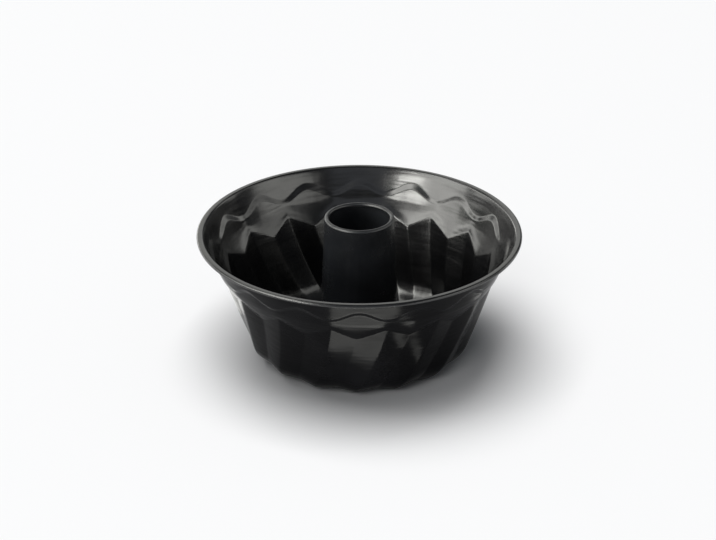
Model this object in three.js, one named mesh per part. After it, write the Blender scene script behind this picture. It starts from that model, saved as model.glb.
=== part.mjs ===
// A kugelhopf mould in black coated sheet steel: a deep-drawn body with twisted flutes, a drawn
// centre tube folded over the body's collar in a lock seam, and a wire rolled into the rim.
// Millimetres, +Z up. The mould stands on its lobes at Z = 0 with the tube on the Z axis.
import * as THREE from "three";

// Sheet and fits
const WALL = 0.5;
const SEAT_GAP = 0.3;

// Rim: a narrow flat lip that rolls outward round a wire
const RIM_DIAMETER = 240;
const RIM_HEIGHT = 98.6;
const RIM_WIDTH = 4.5;
const BEAD_DIAMETER = 3;
const BEAD_SWEEP = THREE.MathUtils.degToRad(285);
const LIP_BEND = 0.9;

// Flared band under the rim, and the arches pressed into it; depths are below the top of the rim
const BAND_TAPER = 0.378;
const ARCH_TOP_DEPTH = 9.6;
const ARCH_FOOT_DEPTH = 17.8;
const ARCH_STEP_TOP = 1.45;
const ARCH_STEP_FOOT = 0.3;
const ARCH_STEP_SLOPE = 2.2;

// Ledge that leads from the arches to the zigzag top edge of the flutes
const LEDGE_TAPER = 0.62;
const LOBE_TOP_DEPTH = 29.6;
const GROOVE_TOP_DEPTH = 39.1;

// Flutes: straight walls, a round corner, a flat resting land and a crown that rises to the tube
const FLUTE_COUNT = 16;
const LOBE_TAPER = 0.32;
const GROOVE_TAPER = 0.31;
const CORNER_RADIUS = 25;
const GROOVE_RISE = 1.4;
const LAND_LENGTH = 4;
const CREST_SHARE = 0.07;
const GROOVE_SOFTNESS = 0.2;
const CROWN_HEIGHT = 7;
const CROWN_EASE = 11;
const TWIST_START = THREE.MathUtils.degToRad(0.08);
const TWIST_GAIN = THREE.MathUtils.degToRad(0.0016);

// Centre tube: a draughted cone with a curled lip, and a foot folded round the body's collar
const TUBE_HEIGHT = 109.2;
const TUBE_TOP_DIAMETER = 51.6;
const TUBE_FOOT_DIAMETER = 60;
const CURL_DIAMETER = 3.4;
const CURL_SWEEP = THREE.MathUtils.degToRad(225);
const COLLAR_DEPTH = 3.2;
const FOLD_RELIEF = 0.6;

// Facets
const COLUMN_PHASES = [CREST_SHARE / 2, 0.2, 0.38, 0.5, 0.62, 0.8, 1 - CREST_SHARE / 2];
const TUBE_SEGMENTS = 48;
const WIRE_SEGMENTS = 64;
const WIRE_SIDES = 6;

const { lerp } = THREE.MathUtils;
const halfWall = WALL / 2;
const pitch = (2 * Math.PI) / FLUTE_COUNT;

// Values that more than one piece takes
const beadCentre = new THREE.Vector2(
  (RIM_DIAMETER - BEAD_DIAMETER) / 2, RIM_HEIGHT - BEAD_DIAMETER / 2,
);
const lipHeight = RIM_HEIGHT - halfWall;
const archFoot = RIM_HEIGHT - ARCH_FOOT_DEPTH;
const lobeTop = RIM_HEIGHT - LOBE_TOP_DEPTH;
const collarRadius = TUBE_FOOT_DIAMETER / 2 + SEAT_GAP + halfWall;
const collarFoot = CROWN_HEIGHT - COLLAR_DEPTH;

function bandRadius(height) {
  return RIM_DIAMETER / 2 - RIM_WIDTH - BAND_TAPER * (lipHeight - height);
}

function ledgeRadius(height) {
  return bandRadius(archFoot) - LEDGE_TAPER * (archFoot - height);
}

// The middle surface of the body's sheet is a stack of rings. A ring gives, for a phase within one
// flute, where 0 and 1 are lobe crests and 0.5 is a groove, the radius, the height and the twist.
function roundRing(radius, height, twist = 0) {
  return () => new THREE.Vector3(radius, height, twist);
}

function rimRings() {
  const roll = (BEAD_DIAMETER - WALL) / 2;
  const start = Math.PI / 2 - BEAD_SWEEP;
  const bead = new THREE.EllipseCurve(beadCentre.x, beadCentre.y, roll, roll, start, Math.PI / 2);
  const rings = bead.getPoints(6).map((point) => roundRing(point.x, point.y));
  rings.push(roundRing(bandRadius(lipHeight) + LIP_BEND, lipHeight));
  rings.push(roundRing(bandRadius(lipHeight - LIP_BEND), lipHeight - LIP_BEND));
  return rings;
}

// The arch line waves once per flute. Under it the band is pressed in by a small step, and the
// pressed panel ends where it meets the ledge.
function archRings() {
  const swell = (phase) => Math.sin(Math.PI * phase);
  const line = (phase) => lerp(archFoot, RIM_HEIGHT - ARCH_TOP_DEPTH, swell(phase) ** 2);
  const recess = (phase) => lerp(ARCH_STEP_FOOT, ARCH_STEP_TOP, swell(phase));
  const stepFoot = (phase) => line(phase) - ARCH_STEP_SLOPE * recess(phase);
  const panelFoot = (phase) => archFoot - recess(phase) / (LEDGE_TAPER - BAND_TAPER);
  const pressed = (height) => (phase) =>
    new THREE.Vector3(bandRadius(height(phase)) - recess(phase), height(phase), 0);
  return [
    (phase) => new THREE.Vector3(bandRadius(line(phase)), line(phase), 0),
    pressed(stepFoot),
    pressed(panelFoot),
  ];
}

// One flute line, down a lobe crest or a groove: points of radius, height and run, the distance
// along the line from the level of the lobe tops.
function fluteLine(topDepth, taper, floor) {
  const lean = Math.atan(taper);
  const top = new THREE.Vector2(ledgeRadius(RIM_HEIGHT - topDepth), RIM_HEIGHT - topDepth);
  const centreHeight = floor + CORNER_RADIUS;
  const centreRadius = top.x - taper * (top.y - centreHeight) - CORNER_RADIUS / Math.cos(lean);
  const corner = new THREE.EllipseCurve(
    centreRadius, centreHeight, CORNER_RADIUS, CORNER_RADIUS, -lean, -Math.PI / 2, true,
  );
  const landEnd = new THREE.Vector2(centreRadius - LAND_LENGTH, floor);
  const crown = new THREE.CubicBezierCurve(
    landEnd,
    new THREE.Vector2(landEnd.x - CROWN_EASE, floor),
    new THREE.Vector2(collarRadius + CROWN_EASE, CROWN_HEIGHT),
    new THREE.Vector2(collarRadius, CROWN_HEIGHT),
  );
  const stretches = [
    { curve: new THREE.LineCurve(top, corner.getPoint(0)), steps: 2 },
    { curve: corner, steps: 4 },
    { curve: new THREE.LineCurve(corner.getPoint(1), landEnd), steps: 1 },
    { curve: crown, steps: 3 },
  ];
  let run = (lobeTop - top.y) / Math.cos(lean);
  const points = [new THREE.Vector3(top.x, top.y, run)];
  for (const { curve, steps } of stretches) {
    for (let step = 1; step <= steps; step += 1) {
      const point = curve.getPointAt(step / steps);
      points.push(new THREE.Vector3(point.x, point.y, run + (curve.getLength() * step) / steps));
    }
    run += curve.getLength();
  }
  return points;
}

function twistAt(run) {
  return TWIST_START * run + TWIST_GAIN * run * run;
}

// Depth across a flute: 0 on the narrow flat crest, a straight flank, and a soft turn to 1 in the groove
function grooveShare(phase) {
  const fromCrest = 0.5 - Math.abs(phase - 0.5) - CREST_SHARE / 2;
  const across = THREE.MathUtils.clamp(fromCrest / (0.5 - CREST_SHARE / 2), 0, 1);
  const sharp = Math.hypot(1, GROOVE_SOFTNESS);
  return (sharp - Math.hypot(1 - across, GROOVE_SOFTNESS)) / (sharp - GROOVE_SOFTNESS);
}

function fluteRings() {
  const lobe = fluteLine(LOBE_TOP_DEPTH, LOBE_TAPER, halfWall);
  const groove = fluteLine(GROOVE_TOP_DEPTH, GROOVE_TAPER, halfWall + GROOVE_RISE);
  const rings = lobe.map((crest, index) => (phase) => {
    const point = crest.clone().lerp(groove[index], grooveShare(phase));
    return point.setZ(twistAt(point.z));
  });
  const lastTwist = twistAt(lobe.at(-1).z);
  rings.push(roundRing(collarRadius, collarFoot, lastTwist));
  return rings;
}

// Turns a stack of rings into a closed sheet, WALL thick, around the middle surface they give
function sheetGeometry(rings) {
  const columns = [];
  for (let flute = 0; flute < FLUTE_COUNT; flute += 1) {
    for (const phase of COLUMN_PHASES) {
      columns.push({ phase, angle: pitch * (flute + phase + 0.5) });
    }
  }
  const middle = rings.map((ring) =>
    columns.map(({ phase, angle }) => {
      const point = ring(phase);
      const turned = angle + point.z;
      return new THREE.Vector3(point.x * Math.sin(turned), point.x * Math.cos(turned), point.y);
    }),
  );
  const width = columns.length;
  const direction = (from, to) => to.clone().sub(from).normalize();
  const offset = (row, column) => {
    const here = middle[row][column];
    const right = direction(here, middle[row][(column + 1) % width]);
    const left = direction(middle[row][(column + width - 1) % width], here);
    const below = row + 1 < rings.length ? direction(here, middle[row + 1][column]) : null;
    const above = row > 0 ? direction(middle[row - 1][column], here) : null;
    const along = (below ?? above).clone().add(above ?? below);
    const mitre = Math.max(0.7, along.length() / 2);
    return right.add(left).cross(along).normalize().multiplyScalar(halfWall / mitre);
  };
  const moved = (way) => middle.map((ring, row) =>
    ring.map((point, column) => point.clone().addScaledVector(offset(row, column), way)),
  );
  const loop = [...moved(-1), ...moved(1).reverse()];
  const index = [];
  loop.forEach((ring, row) => {
    const nextRow = (row + 1) % loop.length;
    ring.forEach((point, column) => {
      const next = (column + 1) % width;
      const a = row * width + column;
      const b = row * width + next;
      const c = nextRow * width + column;
      const d = nextRow * width + next;
      index.push(a, c, b, b, c, d);
    });
  });
  const geometry = new THREE.BufferGeometry().setFromPoints(loop.flat());
  geometry.setIndex(index);
  geometry.computeVertexNormals();
  return geometry;
}

// Closed outline of a sheet, WALL thick, along a path in the plane of radius and height
function sheetOutline(points) {
  const outer = [];
  const inner = [];
  points.forEach((point, index) => {
    const before = points[Math.max(index - 1, 0)];
    const after = points[Math.min(index + 1, points.length - 1)];
    const along = after.clone().sub(before).normalize();
    const across = new THREE.Vector2(along.y, -along.x).multiplyScalar(halfWall);
    outer.unshift(point.clone().sub(across));
    inner.push(point.clone().add(across));
  });
  return [...inner, ...outer, inner[0].clone()];
}

function tubeGeometry() {
  const curl = (CURL_DIAMETER - WALL) / 2;
  const curlCentre = new THREE.Vector2(
    (TUBE_TOP_DIAMETER - CURL_DIAMETER) / 2, TUBE_HEIGHT - CURL_DIAMETER / 2,
  );
  const fold = WALL + SEAT_GAP;
  const path = new THREE.Path();
  path.absarc(curlCentre.x, curlCentre.y, curl, CURL_SWEEP, 0, true);
  path.lineTo(collarRadius - fold, CROWN_HEIGHT + WALL);
  path.lineTo(collarRadius - fold, collarFoot);
  path.absarc(collarRadius, collarFoot, fold, Math.PI, 2 * Math.PI, false);
  path.lineTo(collarRadius + fold, CROWN_HEIGHT - halfWall - FOLD_RELIEF);
  const outline = sheetOutline(path.getPoints(3));
  return new THREE.LatheGeometry(outline, TUBE_SEGMENTS).rotateX(Math.PI / 2);
}

function wireGeometry() {
  const radius = BEAD_DIAMETER / 2 - WALL - SEAT_GAP;
  return new THREE.TorusGeometry(beadCentre.x, radius, WIRE_SIDES, WIRE_SEGMENTS)
    .translate(0, 0, beadCentre.y);
}

function coatedSteel() {
  return new THREE.MeshStandardMaterial({ color: 0x1b1b1d, roughness: 0.34, metalness: 0.25 });
}

function bareSteel() {
  return new THREE.MeshStandardMaterial({ color: 0x8a8c8e, roughness: 0.4, metalness: 1 });
}

function piece(name, geometry, material) {
  const mesh = new THREE.Mesh(geometry, material);
  mesh.name = name;
  return mesh;
}

const mould = new THREE.Group();
const bodyRings = [...rimRings(), ...archRings(), ...fluteRings()];
mould.add(piece("fluted_body", sheetGeometry(bodyRings), coatedSteel()));
mould.add(piece("centre_tube", tubeGeometry(), coatedSteel()));
mould.add(piece("rim_wire", wireGeometry(), bareSteel()));

export default mould;
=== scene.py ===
import math

import bpy
import numpy as np
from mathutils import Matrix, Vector


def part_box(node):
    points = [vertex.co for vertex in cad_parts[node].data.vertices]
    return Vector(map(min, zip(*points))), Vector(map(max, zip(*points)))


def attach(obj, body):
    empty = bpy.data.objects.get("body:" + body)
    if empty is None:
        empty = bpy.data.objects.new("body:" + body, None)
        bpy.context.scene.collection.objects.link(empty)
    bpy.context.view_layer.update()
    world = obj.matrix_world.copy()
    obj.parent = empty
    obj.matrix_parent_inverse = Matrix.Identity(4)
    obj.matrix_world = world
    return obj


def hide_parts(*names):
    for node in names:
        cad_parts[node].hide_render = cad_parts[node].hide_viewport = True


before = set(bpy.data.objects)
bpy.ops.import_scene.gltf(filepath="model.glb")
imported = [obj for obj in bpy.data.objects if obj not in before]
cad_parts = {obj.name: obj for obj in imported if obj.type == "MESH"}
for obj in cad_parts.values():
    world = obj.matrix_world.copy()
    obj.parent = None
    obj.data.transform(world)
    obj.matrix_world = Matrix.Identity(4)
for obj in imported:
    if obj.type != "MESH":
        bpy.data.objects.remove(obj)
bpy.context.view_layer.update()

# The looks of a kugelhopf mould: black non-stick coated sheet steel in a white studio.
# Shapes are worked out in millimetres and written to the meshes in metres.
MM = 0.001

# Overall sizes, from the frame
RIM_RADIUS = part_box("fluted_body")[1].x / MM
RIM_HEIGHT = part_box("fluted_body")[1].z / MM
TUBE_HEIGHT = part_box("centre_tube")[1].z / MM

# Sheet and rim
WALL = 0.5
SEAT_GAP = 0.3
RIM_WIDTH = 4.5
BEAD_DIAMETER = 3.0
BEAD_SWEEP = math.radians(285)
LIP_BEND = 1.3

# Flared band, pressed arches and ledge. Depths are below the top of the rim, and a taper is the way
# inward for each millimetre down. The step's fade is a power: a higher one fades nearer to the foot.
BAND_TAPER = 0.378
ARCH_TOP_DEPTH = 9.6
ARCH_FOOT_DEPTH = 17.8
ARCH_STEP_TOP = 1.45
ARCH_STEP_FOOT = 0.95
ARCH_STEP_FADE = 6
ARCH_STEP_SLOPE = 2.5
ARCH_BEND = 0.9
PANEL_BEND = 1.6
LEDGE_TAPER = 0.62
LEDGE_HOLLOW = 0.5
ZIGZAG_BEND = 1.2

# Flutes. The offset, a share of a flute, turns a groove to the front, softness is a share of half a
# flute, and the twist is for each millimetre down the flute, with its gain for the square of that.
FLUTE_COUNT = 16
FLUTE_OFFSET = 0.5
LOBE_TOP_DEPTH = 29.6
GROOVE_TOP_DEPTH = 39.1
LOBE_TAPER = 0.32
GROOVE_TAPER = 0.31
CORNER_RADIUS = 25.0
GROOVE_RISE = 1.4
LAND_LENGTH = 4.0
CREST_SOFTNESS = 0.07
GROOVE_SOFTNESS = 0.2
BASE_SOFTNESS = 0.25
CROWN_HEIGHT = 7.0
CROWN_EASE = 11.0
TWIST_START = math.radians(0.08)
TWIST_GAIN = math.radians(0.0016)

# Centre tube and its folded seam
TUBE_TOP_RADIUS = 25.8
TUBE_FOOT_RADIUS = 30.0
CURL_DIAMETER = 3.4
CURL_SWEEP = math.radians(225)
COLLAR_DEPTH = 3.2
COLLAR_BEND = 0.6
FOLD_RELIEF = 0.6

# Fineness of the meshes, in steps along each stretch
BEAD_STEPS = 26
WALL_STEPS = 12
CORNER_STEPS = 16
LAND_STEPS = 2
CROWN_STEPS = 14
COLLAR_BEND_STEPS = 4
COLLAR_STEPS = 2
CURL_STEPS = 20
TUBE_STEPS = 16
SHOULDER_STEPS = 3
HEM_STEPS = 12
HEM_TOP_STEPS = 2
TUBE_COLUMNS = 144

# The bead's first steps are its underside, which takes the coating of the outside
BEAD_UNDERSIDE = 16

# A bend takes at most this share of the shorter stretch beside it
LARGEST_SETBACK = 0.45

# Edges that turn by more than this stay sharp
SHARP_ANGLE = math.radians(50)

# Coating: a gloss is the roughness where it is smooth and where it is dull, a noise its scale and detail
INSIDE_IOR = 1.6
OUTSIDE_IOR = 1.11
BODY_BLACK = (0.0021, 0.0021, 0.0024)
TUBE_BLACK = (0.0052, 0.0057, 0.0068)
# The bore's black is lighter than the tube's: painted light standing in for the floor's light shining up the
# bore
BORE_BLACK_WITH_PAINTED_LIGHT = (0.0105, 0.0112, 0.0126)
INSIDE_GLOSS = (0.18, 0.24)
OUTSIDE_GLOSS = (0.15, 0.22)
TUBE_GLOSS = (0.2, 0.28)
CURL_GLOSS = (0.34, 0.42)
BORE_GLOSS = (0.3, 0.4)
GLOSS_NOISE = (60, 5)
CLOUD_NOISE = (38, 4)
CLOUDING = 1.6
# Convex edges lightened through pointiness: partly rubbed wear of the coating, partly a painted highlight
# along the bends
WORN_AND_HIGHLIT_EDGE = (0.56, 0.68)
WEAR_AND_HIGHLIGHT_NOISE = (260, 3)
LEAST_WEAR_AND_HIGHLIGHT = 0.2
RUBBED_AND_HIGHLIT_EDGE_COLOUR = (0.03, 0.03, 0.03)
PEEL_NOISE = (1400, 3)
PEEL_DEPTH = 0.000008

# Waves in the sheet: turns round the axis, rise along it, noise scale, and depth in metres
FLUTE_WAVES = (1.0, 1.5, 12, 0.00010)
DRAW_WAVES = (0.25, 20.0, 12, 0.00018)
TUBE_WAVES = (0.25, 20.0, 12, 0.00005)
WAVE_DETAIL = 1

# Wire
WIRE_GREYS = ((0.42, 0.42, 0.41), (0.55, 0.55, 0.54))
WIRE_GLOSS = (0.28, 0.42)
WIRE_TONE_NOISE = (300, 3)
WIRE_GLOSS_NOISE = (500, 4)
WIRE_GRAIN_NOISE = (2500, 2)

# Camera, fitted to the rim, the tube and the flute edges of the photograph, in metres; the lens in mm
CAMERA_DISTANCE = 1.295
CAMERA_ELEVATION = math.radians(25.72)
CAMERA_AIM = Vector((-0.001, 0.0, 0.0648))
CAMERA_LENS = 88.06
CAMERA_REACH = 100

# Studio, in metres and degrees
WARM = (1.0, 1.0, 0.95)
COOL = (0.92, 0.97, 1.06)
NEUTRAL = (1.0, 1.0, 1.0)
WORLD_GREY = (0.115, 0.12, 0.127)
FLOOR_WHITE = (0.9, 0.9, 0.9)
FLOOR_REACH = 20
BOX_DISTANCE = 1.6
FLOOR_LAMP_DISTANCE = 24.0
LAMP_AIM_HEIGHT = 0.05
CARD_LIFT = 0.001
WIDE_BEAM = 180
NARROW_BEAM = 54
BEAM_LEAN = 30

# Worked out from the sizes above
HALF_WALL = WALL / 2
PITCH = 2 * math.pi / FLUTE_COUNT
BEAD_CENTRE = np.array([RIM_RADIUS - BEAD_DIAMETER / 2, RIM_HEIGHT - BEAD_DIAMETER / 2])
LIP_HEIGHT = RIM_HEIGHT - HALF_WALL
ARCH_FOOT = RIM_HEIGHT - ARCH_FOOT_DEPTH
LOBE_TOP = RIM_HEIGHT - LOBE_TOP_DEPTH
COLLAR_RADIUS = TUBE_FOOT_RADIUS + SEAT_GAP + HALF_WALL
COLLAR_FOOT = CROWN_HEIGHT - COLLAR_DEPTH


def band_radius(height):
    return RIM_RADIUS - RIM_WIDTH - BAND_TAPER * (LIP_HEIGHT - height)


def ledge_radius(height):
    return band_radius(ARCH_FOOT) - LEDGE_TAPER * (ARCH_FOOT - height)


def arc(centre, radius, start, end, steps):
    """Points of radius and height on an arc, ends included."""
    angles = np.linspace(start, end, steps + 1)
    return np.stack([centre[0] + radius * np.cos(angles), centre[1] + radius * np.sin(angles)], 1)


def line(start, end, steps):
    return np.linspace(start, end, steps + 1)


def bezier(points, steps):
    t = np.linspace(0, 1, steps + 1)[:, None]
    a, b, c, d = points
    return (1 - t) ** 3 * a + 3 * (1 - t) ** 2 * t * b + 3 * (1 - t) * t ** 2 * c + t ** 3 * d


def flute_line(top_depth, taper, floor):
    """One line down a lobe crest or a groove: radius, height and run, the distance along it."""
    lean = math.atan(taper)
    top = np.array([ledge_radius(RIM_HEIGHT - top_depth), RIM_HEIGHT - top_depth])
    centre_height = floor + CORNER_RADIUS
    centre_radius = top[0] - taper * (top[1] - centre_height) - CORNER_RADIUS / math.cos(lean)
    corner = arc((centre_radius, centre_height), CORNER_RADIUS, -lean, -math.pi / 2, CORNER_STEPS)
    land_end = np.array([centre_radius - LAND_LENGTH, floor])
    collar = np.array([COLLAR_RADIUS, CROWN_HEIGHT])
    ease = np.array([CROWN_EASE, 0])
    crown = bezier([land_end, land_end - ease, collar + ease, collar], CROWN_STEPS)
    points = np.concatenate([
        line(top, corner[0], WALL_STEPS),
        corner[1:],
        line(corner[-1], land_end, LAND_STEPS)[1:],
        crown[1:],
    ])
    run = np.concatenate([[0], np.cumsum(np.hypot(*np.diff(points, axis=0).T))])
    run += (LOBE_TOP - top[1]) / math.cos(lean)
    return np.column_stack([points, run])


def groove_share(phase, softness):
    """Depth across a flute: 0 in the narrow crest, a straight flank, and a soft turn to 1 in the groove."""
    across = 1 - np.abs(2 * phase - 1)

    def bent(x):
        return np.hypot(x, CREST_SOFTNESS) - np.hypot(1 - x, softness)

    return (bent(across) - bent(0)) / (bent(1) - bent(0))


def turned_corner(before, corner, after, setback, steps):
    """A soft turn through a corner, for every column at once."""
    into, out = before - corner, after - corner
    reach_in = np.hypot(into[:, 0], into[:, 1])[:, None]
    reach_out = np.hypot(out[:, 0], out[:, 1])[:, None]
    back = np.minimum(setback, LARGEST_SETBACK * np.minimum(reach_in, reach_out))
    start, end = corner + into / reach_in * back, corner + out / reach_out * back
    shares = np.linspace(0, 1, steps + 1)
    return [(1 - t) ** 2 * start + 2 * t * (1 - t) * corner + t ** 2 * end for t in shares]


def between(start, end, steps):
    """Rings strictly between two rings."""
    return [start + (end - start) * step / steps for step in range(1, steps)]


def flute_phases():
    """Places across one flute, close together at the crest and in the groove."""
    half = np.array([0, 0.02, 0.04, 0.07, 0.115, 0.18, 0.26, 0.33, 0.39, 0.435, 0.47, 0.5])
    return np.concatenate([half, 1 - half[-2:0:-1]])


def flute_rings(phase):
    """Rings down the flutes, from the zigzag to the collar; the grooves are rounder at the base."""
    lobe = flute_line(LOBE_TOP_DEPTH, LOBE_TAPER, HALF_WALL)
    groove = flute_line(GROOVE_TOP_DEPTH, GROOVE_TAPER, HALF_WALL + GROOVE_RISE)
    base_ends = [CORNER_RADIUS / 2, CORNER_RADIUS * 2]
    softness = np.interp(lobe[:, 1], base_ends, [BASE_SOFTNESS, GROOVE_SOFTNESS])
    shares = [groove_share(phase, soft)[:, None] for soft in softness]
    return [crest + (low - crest) * share for crest, low, share in zip(lobe, groove, shares)]


def body_rings(phase):
    """The middle surface of the body's sheet from the rolled edge to the collar, ring by ring.
    A ring holds, for every phase, the radius, the height and the run that sets its twist."""
    def level(radius, height, run=0.0):
        return np.broadcast_to([radius, height, run], (len(phase), 3)).copy()

    swell = np.sin(np.pi * phase)
    foot_share = np.cos(np.pi * phase) ** ARCH_STEP_FADE
    recess = ARCH_STEP_TOP - (ARCH_STEP_TOP - ARCH_STEP_FOOT) * foot_share
    arch_height = ARCH_FOOT + (ARCH_FOOT_DEPTH - ARCH_TOP_DEPTH) * swell ** 2
    step_height = arch_height - ARCH_STEP_SLOPE * recess
    panel_height = ARCH_FOOT - recess / (LEDGE_TAPER - BAND_TAPER)
    still = np.zeros_like(phase)

    bead = arc(BEAD_CENTRE, (BEAD_DIAMETER - WALL) / 2, math.pi / 2 - BEAD_SWEEP, math.pi / 2, BEAD_STEPS)
    rings = [level(*point) for point in bead]
    flute = flute_rings(phase)
    panel_foot = np.column_stack([band_radius(panel_height) - recess, panel_height, still])
    ledge_lean = math.atan(LEDGE_TAPER)
    hollow = LEDGE_HOLLOW * np.array([math.cos(ledge_lean), -math.sin(ledge_lean), 0])
    ledge_middle = (panel_foot + flute[0]) / 2 + hollow

    # Each bend: its corner, its setback, the steps through it and the steps that lead to it
    bends = [
        (level(band_radius(LIP_HEIGHT), LIP_HEIGHT), LIP_BEND, 6, 2),
        (np.column_stack([band_radius(arch_height), arch_height, still]), ARCH_BEND, 5, 4),
        (np.column_stack([band_radius(step_height) - recess, step_height, still]), ARCH_BEND, 5, 1),
        (panel_foot, PANEL_BEND, 6, 4),
        (ledge_middle, math.inf, 10, 1),
        (flute[0], ZIGZAG_BEND, 6, 2),
    ]
    corners = [rings[-1]] + [bend[0] for bend in bends] + [flute[1]]
    for index, (corner, setback, steps, lead) in enumerate(bends):
        turn = turned_corner(corners[index], corner, corners[index + 2], setback, steps)
        rings += between(rings[-1], turn[0], lead)
        rings += turn
    rings += flute[1:-1]
    collar_run = flute[-1][:, 2]
    foot = np.column_stack([still + COLLAR_RADIUS, still + COLLAR_FOOT, collar_run])
    turn = turned_corner(flute[-2], flute[-1], foot, COLLAR_BEND, COLLAR_BEND_STEPS)
    rings += turn
    rings += between(turn[-1], foot, COLLAR_STEPS)
    rings.append(foot)
    return np.array(rings)


def sheet_normals(middle):
    """Unit normals of a grid of points that closes on itself along its second axis."""
    across = np.roll(middle, -1, 1) - np.roll(middle, 1, 1)
    along = np.gradient(middle, axis=0)
    normal = np.cross(across, along)
    return normal / np.linalg.norm(normal, axis=2, keepdims=True)


def grid_mesh(name, loops):
    """A closed mesh from a grid of points, in millimetres, that closes on itself both ways."""
    rows, columns = loops.shape[:2]
    row, column = np.meshgrid(np.arange(rows), np.arange(columns), indexing="ij")
    next_row, next_column = (row + 1) % rows, (column + 1) % columns
    quads = np.stack([
        row * columns + column,
        next_row * columns + column,
        next_row * columns + next_column,
        row * columns + next_column,
    ], axis=2).reshape(-1, 4)
    mesh = bpy.data.meshes.new(name)
    mesh.from_pydata((loops.reshape(-1, 3) * MM).tolist(), [], quads.tolist())
    mesh.polygons.foreach_set("use_smooth", np.ones(len(quads), bool))
    mesh.set_sharp_from_angle(angle=SHARP_ANGLE)
    mesh.update()
    piece = bpy.data.objects.new(name, mesh)
    bpy.context.collection.objects.link(piece)
    return piece


def fluted_body():
    """The pressed sheet; its inner faces take the first material and its outer faces the second."""
    phase = flute_phases()
    rings = body_rings(phase)
    flutes = np.repeat(np.arange(FLUTE_COUNT), len(phase))
    radius, height, run = np.moveaxis(np.tile(rings, (1, FLUTE_COUNT, 1)), 2, 0)
    twist = TWIST_START * run + TWIST_GAIN * run ** 2
    angle = PITCH * (flutes + np.tile(phase, FLUTE_COUNT) + FLUTE_OFFSET) + twist
    middle = np.stack([radius * np.sin(angle), radius * np.cos(angle), height], 2)
    offset = sheet_normals(middle) * HALF_WALL
    piece = grid_mesh("pressed_body", np.concatenate([middle - offset, (middle + offset)[::-1]]))
    rows, columns = middle.shape[:2]
    face_rows = np.arange(2 * rows).repeat(columns)
    outside = (face_rows < BEAD_UNDERSIDE) | (face_rows >= rows)
    piece.data.polygons.foreach_set("material_index", outside.astype(np.int32))
    return piece


def centre_tube():
    """The drawn tube; its wall takes the first material, its bore the second and its curl the third."""
    curl_centre = (TUBE_TOP_RADIUS - CURL_DIAMETER / 2, TUBE_HEIGHT - CURL_DIAMETER / 2)
    curl = arc(curl_centre, (CURL_DIAMETER - WALL) / 2, CURL_SWEEP, 0, CURL_STEPS)
    fold = WALL + SEAT_GAP
    shoulder = np.array([COLLAR_RADIUS - fold, CROWN_HEIGHT + WALL])
    hem = arc((COLLAR_RADIUS, COLLAR_FOOT), fold, math.pi, 2 * math.pi, HEM_STEPS)
    hem_top = np.array([COLLAR_RADIUS + fold, CROWN_HEIGHT - HALF_WALL - FOLD_RELIEF])
    path = np.concatenate([
        curl,
        line(curl[-1], shoulder, TUBE_STEPS)[1:],
        line(shoulder, hem[0], SHOULDER_STEPS)[1:],
        hem[1:],
        line(hem[-1], hem_top, HEM_TOP_STEPS)[1:],
    ])
    along = np.gradient(path, axis=0)
    along /= np.linalg.norm(along, axis=1, keepdims=True)
    across = np.stack([along[:, 1], -along[:, 0]], 1) * HALF_WALL
    outline = np.concatenate([path + across, (path - across)[::-1]])
    angle = np.linspace(0, 2 * math.pi, TUBE_COLUMNS, endpoint=False)
    radius, height = outline[:, :1], np.repeat(outline[:, 1:], len(angle), 1)
    piece = grid_mesh("drawn_tube", np.stack([radius * np.sin(angle), radius * np.cos(angle), height], 2))
    face_rows = np.arange(len(outline)).repeat(len(angle))
    bore, curled = face_rows < len(path), face_rows >= len(outline) - len(curl)
    piece.data.polygons.foreach_set("material_index", np.select([bore, curled], [1, 2]).astype(np.int32))
    return piece


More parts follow.
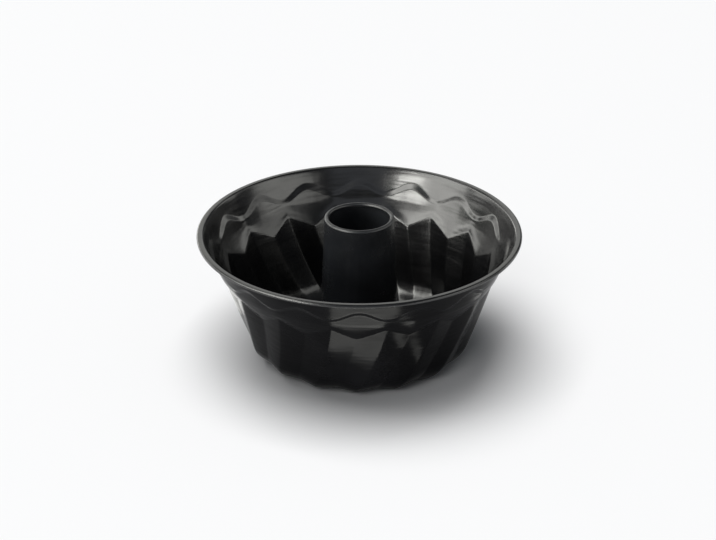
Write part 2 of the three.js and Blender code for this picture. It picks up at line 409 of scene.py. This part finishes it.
class Recipe:
    """The nodes of one material, with short calls for the kinds that repeat."""

    # Places of the colour sockets on a mix node
    MIX_UNDER, MIX_OVER, MIX_RESULT = 6, 7, 2

    def __init__(self, name):
        self.material = bpy.data.materials.new(name)
        self.material.use_nodes = True
        self.nodes = self.material.node_tree.nodes
        self.links = self.material.node_tree.links
        self.shader = self.nodes["Principled BSDF"]
        self.place = self.nodes.new("ShaderNodeTexCoord").outputs["Object"]

    def feed(self, source, socket):
        self.links.new(source, self.shader.inputs[socket])

    def noise(self, scale, detail, place=None):
        node = self.nodes.new("ShaderNodeTexNoise")
        node.inputs["Scale"].default_value = scale
        node.inputs["Detail"].default_value = detail
        self.links.new(place or self.place, node.inputs["Vector"])
        return node.outputs["Fac"]

    def ramp(self, source, low, high, start=0.35, end=0.65):
        """One colour up to the start, another from the end on."""
        node = self.nodes.new("ShaderNodeValToRGB")
        for element, position, colour in zip(node.color_ramp.elements, (start, end), (low, high)):
            element.position = position
            element.color = (*colour, 1)
        self.links.new(source, node.inputs["Fac"])
        return node.outputs["Color"]

    def greys(self, source, low, high, *ends):
        """A ramp between two greys."""
        return self.ramp(source, (low,) * 3, (high,) * 3, *ends)

    def maths(self, operation, *values):
        node = self.nodes.new("ShaderNodeMath")
        node.operation = operation
        for socket, value in zip(node.inputs, values):
            if isinstance(value, (int, float)):
                socket.default_value = value
            else:
                self.links.new(value, socket)
        return node.outputs["Value"]

    def mix(self, share, under, over):
        """Two colours mixed by a share: the first where it is 0, the second where it is 1."""
        node = self.nodes.new("ShaderNodeMix")
        node.data_type = "RGBA"
        self.links.new(share, node.inputs["Factor"])
        self.links.new(under, node.inputs[self.MIX_UNDER])
        node.inputs[self.MIX_OVER].default_value = (*over, 1)
        return node.outputs[self.MIX_RESULT]

    def around(self, turns, rise):
        """Coordinates round the axis and up it, so that a pattern can stretch along the wall or round it."""
        split = self.nodes.new("ShaderNodeSeparateXYZ")
        self.links.new(self.place, split.inputs["Vector"])
        x, y, z = split.outputs
        squares = self.maths("ADD", self.maths("MULTIPLY", x, x), self.maths("MULTIPLY", y, y))
        scaled = self.maths("DIVIDE", turns, self.maths("SQRT", squares))
        joined = self.nodes.new("ShaderNodeCombineXYZ")
        self.links.new(self.maths("MULTIPLY", x, scaled), joined.inputs["X"])
        self.links.new(self.maths("MULTIPLY", y, scaled), joined.inputs["Y"])
        self.links.new(self.maths("MULTIPLY", z, rise), joined.inputs["Z"])
        return joined.outputs["Vector"]

    def bump(self, height, distance, under=None):
        node = self.nodes.new("ShaderNodeBump")
        node.inputs["Strength"].default_value = 1.0
        node.inputs["Distance"].default_value = distance
        self.links.new(height, node.inputs["Height"])
        if under:
            self.links.new(under, node.inputs["Normal"])
        return node.outputs["Normal"]


def coating(name, black, ior, gloss, sheet_waves):
    """Black non-stick coating: sheet waves, fine orange peel, faint clouding, and convex edges lightened
    partly by wear and partly as a painted highlight.
    """
    recipe = Recipe(name)
    recipe.shader.inputs["IOR"].default_value = ior
    clouds = recipe.ramp(recipe.noise(*CLOUD_NOISE), black, [CLOUDING * channel for channel in black])
    geometry = recipe.nodes.new("ShaderNodeNewGeometry")
    # Lightened convex edges: partly rubbed wear, partly a painted highlight along the bends
    edges = recipe.greys(geometry.outputs["Pointiness"], 0, 1, *WORN_AND_HIGHLIT_EDGE)
    rubbed_and_highlit = recipe.maths("MULTIPLY", edges, recipe.greys(recipe.noise(*WEAR_AND_HIGHLIGHT_NOISE), LEAST_WEAR_AND_HIGHLIGHT, 1))
    recipe.feed(recipe.mix(rubbed_and_highlit, clouds, RUBBED_AND_HIGHLIT_EDGE_COLOUR), "Base Color")
    recipe.feed(recipe.greys(recipe.noise(*GLOSS_NOISE), *gloss), "Roughness")
    relief = None
    for turns, rise, scale, depth in sheet_waves:
        waves = recipe.noise(scale, WAVE_DETAIL, recipe.around(turns, rise))
        relief = recipe.bump(waves, depth, relief)
    recipe.feed(recipe.bump(recipe.noise(*PEEL_NOISE), PEEL_DEPTH, relief), "Normal")
    return recipe.material


def wire_steel():
    """Drawn steel wire: bright grey, with a fine grain."""
    recipe = Recipe("drawn_wire")
    recipe.shader.inputs["Metallic"].default_value = 1
    recipe.feed(recipe.ramp(recipe.noise(*WIRE_TONE_NOISE), *WIRE_GREYS), "Base Color")
    recipe.feed(recipe.greys(recipe.noise(*WIRE_GLOSS_NOISE), *WIRE_GLOSS), "Roughness")
    recipe.feed(recipe.bump(recipe.noise(*WIRE_GRAIN_NOISE), PEEL_DEPTH), "Normal")
    return recipe.material


def put(piece, node, slot, *materials):
    """Gives a piece its materials and sets it in the place of its node."""
    for material in materials:
        piece.data.materials.append(material)
    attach(piece, "root")
    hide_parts(node)
    return piece


def camera():
    data = bpy.data.cameras.new("camera")
    data.lens = CAMERA_LENS
    data.clip_end = CAMERA_REACH
    rig = bpy.data.objects.new("camera", data)
    rim_centre = Vector((0, 0, BEAD_CENTRE[1] * MM))
    back = Vector((0, -math.cos(CAMERA_ELEVATION), math.sin(CAMERA_ELEVATION)))
    rig.location = rim_centre + CAMERA_DISTANCE * back
    rig.rotation_euler = (CAMERA_AIM - rig.location).to_track_quat("-Z", "Y").to_euler()
    bpy.context.collection.objects.link(rig)
    bpy.context.scene.camera = rig


def toward(bearing, elevation):
    """Unit vector: bearing 0 is straight behind the mould, positive to the right."""
    flat = math.cos(math.radians(elevation))
    turn = math.radians(bearing)
    return Vector((flat * math.sin(turn), flat * math.cos(turn), math.sin(math.radians(elevation))))


def area_lamp(lit, name, size, brightness, tint):
    """An area lamp of even brightness that lights only one collection."""
    data = bpy.data.lights.new(name, "AREA")
    data.shape = "RECTANGLE"
    data.size, data.size_y = size
    data.energy = math.pi * size[0] * size[1] * brightness
    data.color = tint
    lamp = bpy.data.objects.new(name, data)
    lamp.light_linking.receiver_collection = lit
    bpy.context.collection.objects.link(lamp)
    return lamp


def soft_box(lit, name, bearing, elevation, size, brightness, distance=BOX_DISTANCE, tint=WARM):
    """A soft box that faces the mould."""
    lamp = area_lamp(lit, name, size, brightness, tint)
    away = toward(bearing, elevation)
    lamp.location = away * distance + Vector((0, 0, LAMP_AIM_HEIGHT))
    lamp.rotation_euler = (-away).to_track_quat("-Z", "Y").to_euler()


def floor_card(lit, name, place, size, brightness, lean=0, beam=WIDE_BEAM):
    """A small reflector on the floor beside the mould that shines up at its wall, or leans to a side."""
    lamp = area_lamp(lit, name, size, brightness, WARM)
    lamp.location = (*place, CARD_LIFT)
    lamp.rotation_euler = (math.pi, math.radians(lean), 0)
    lamp.visible_camera = False
    lamp.data.spread = math.radians(beam)


def white_floor():
    corners = [(-FLOOR_REACH, -FLOOR_REACH, 0), (FLOOR_REACH, -FLOOR_REACH, 0),
               (FLOOR_REACH, FLOOR_REACH, 0), (-FLOOR_REACH, FLOOR_REACH, 0)]
    mesh = bpy.data.meshes.new("floor")
    mesh.from_pydata(corners, [], [(0, 1, 2, 3)])
    floor = bpy.data.objects.new("floor", mesh)
    bpy.context.collection.objects.link(floor)
    material = bpy.data.materials.new("white_floor")
    material.use_nodes = True
    shader = material.node_tree.nodes["Principled BSDF"]
    shader.inputs["Base Color"].default_value = (*FLOOR_WHITE, 1)
    shader.inputs["Specular IOR Level"].default_value = 0
    mesh.materials.append(material)
    return floor


def soft_boxes(lit):
    """The boxes that the walls mirror: the right wall those on the left, the left wall those on the right."""
    soft_box(lit, "key_strip", bearing=-120, elevation=13.5, size=(1.74, 0.4), brightness=6.0)
    soft_box(lit, "key_core", bearing=-140, elevation=15, size=(0.62, 0.28), brightness=12.0)
    soft_box(lit, "key_middle", bearing=-117, elevation=26.5, size=(0.56, 0.32), brightness=4.4)
    soft_box(lit, "key_high", bearing=-118, elevation=38, size=(1.0, 0.31), brightness=6.6)
    soft_box(lit, "key_top", bearing=-112, elevation=50, size=(0.64, 0.34), brightness=5.6)
    soft_box(lit, "side_left", bearing=-93, elevation=27, size=(0.75, 0.46), brightness=4.4)
    soft_box(lit, "low_left", bearing=-70, elevation=16, size=(0.8, 0.54), brightness=3.6)
    soft_box(lit, "back_low", bearing=-38, elevation=7, size=(1.2, 0.34), brightness=3.6)
    soft_box(lit, "back", bearing=-12, elevation=28, size=(1.6, 0.9), brightness=1.1)
    soft_box(lit, "top_left", bearing=-90, elevation=60, size=(1.7, 0.6), brightness=2.4)
    soft_box(lit, "back_right", bearing=62, elevation=17, size=(0.66, 0.58), brightness=1.8)
    soft_box(lit, "front_right", bearing=119, elevation=14, size=(1.52, 0.42), brightness=2.5)
    soft_box(lit, "high_right", bearing=99, elevation=32, size=(1.2, 0.55), brightness=1.5)
    soft_box(lit, "front", bearing=180, elevation=36, size=(1.4, 1.3), brightness=0.42,
             distance=1.8, tint=COOL)


def floor_lamps(lit):
    """Two large lamps, far off, that whiten the floor and leave a soft shadow."""
    soft_box(lit, "floor_top", bearing=-70, elevation=81, size=(19.2, 19.2), brightness=5.2,
             distance=FLOOR_LAMP_DISTANCE, tint=NEUTRAL)
    soft_box(lit, "floor_front", bearing=-160, elevation=42, size=(9.6, 9.6), brightness=3.0,
             distance=FLOOR_LAMP_DISTANCE, tint=NEUTRAL)


def floor_cards(lit):
    """The reflectors that the outer wall mirrors: in front, at its edges, behind it and at its sides."""
    floor_card(lit, "near_card", place=(-0.003, -0.1205), size=(0.062, 0.015), brightness=9.4)
    floor_card(lit, "fade_card", place=(0.0, -0.110), size=(0.05, 0.006), brightness=1.6)
    floor_card(lit, "far_card", place=(0.009, -0.141), size=(0.098, 0.027), brightness=7.5)
    floor_card(lit, "side_card", place=(0.0615, -0.103), size=(0.009, 0.024), brightness=4.2)
    floor_card(lit, "left_card", place=(-0.117, 0.06), size=(0.022, 0.06), brightness=1.1)
    floor_card(lit, "right_card", place=(0.137, -0.006), size=(0.014, 0.016), brightness=2.2)
    floor_card(lit, "back_card", place=(0.0, 0.135), size=(0.085, 0.032), brightness=6.0)
    floor_card(lit, "left_beam", place=(-0.137, 0.0), size=(0.034, 0.05), brightness=1.5,
               lean=BEAM_LEAN, beam=NARROW_BEAM)
    floor_card(lit, "right_beam", place=(0.137, 0.0), size=(0.034, 0.05), brightness=1.5,
               lean=-BEAM_LEAN, beam=NARROW_BEAM)


def lit_group(name, things):
    """A collection that lamps can be limited to."""
    group = bpy.data.collections.new(name)
    for thing in things:
        group.objects.link(thing)
    return group


def studio(pieces):
    floor = white_floor()
    world = bpy.data.worlds.new("studio")
    world.use_nodes = True
    world.node_tree.nodes["Background"].inputs["Color"].default_value = (*WORLD_GREY, 1)
    bpy.context.scene.world = world
    mould_lit = lit_group("mould_lit", pieces)
    soft_boxes(mould_lit)
    floor_lamps(lit_group("floor_lit", [floor]))
    floor_cards(mould_lit)


body_waves = (FLUTE_WAVES, DRAW_WAVES)
inside = coating("inside_coating", BODY_BLACK, INSIDE_IOR, INSIDE_GLOSS, body_waves)
outside = coating("outside_coating", BODY_BLACK, OUTSIDE_IOR, OUTSIDE_GLOSS, body_waves)
body = put(fluted_body(), "fluted_body", "nonstick_coating", inside, outside)
tube_waves = (TUBE_WAVES,)
tube_coating = coating("tube_coating", TUBE_BLACK, INSIDE_IOR, TUBE_GLOSS, tube_waves)
curl_coating = coating("curl_coating", TUBE_BLACK, INSIDE_IOR, CURL_GLOSS, tube_waves)
# The bore takes the tube's coating in a lighter black, as painted light inside the bore
bore_coating_with_painted_light = coating("bore_coating_with_painted_light", BORE_BLACK_WITH_PAINTED_LIGHT, OUTSIDE_IOR, BORE_GLOSS, tube_waves)
tube = put(centre_tube(), "centre_tube", "nonstick_coating", tube_coating, bore_coating_with_painted_light, curl_coating)
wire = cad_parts["rim_wire"]
wire.data.materials.clear()
wire.data.materials.append(wire_steel())
camera()
studio([body, tube, wire])
bpy.context.scene.view_settings.view_transform = "Standard"
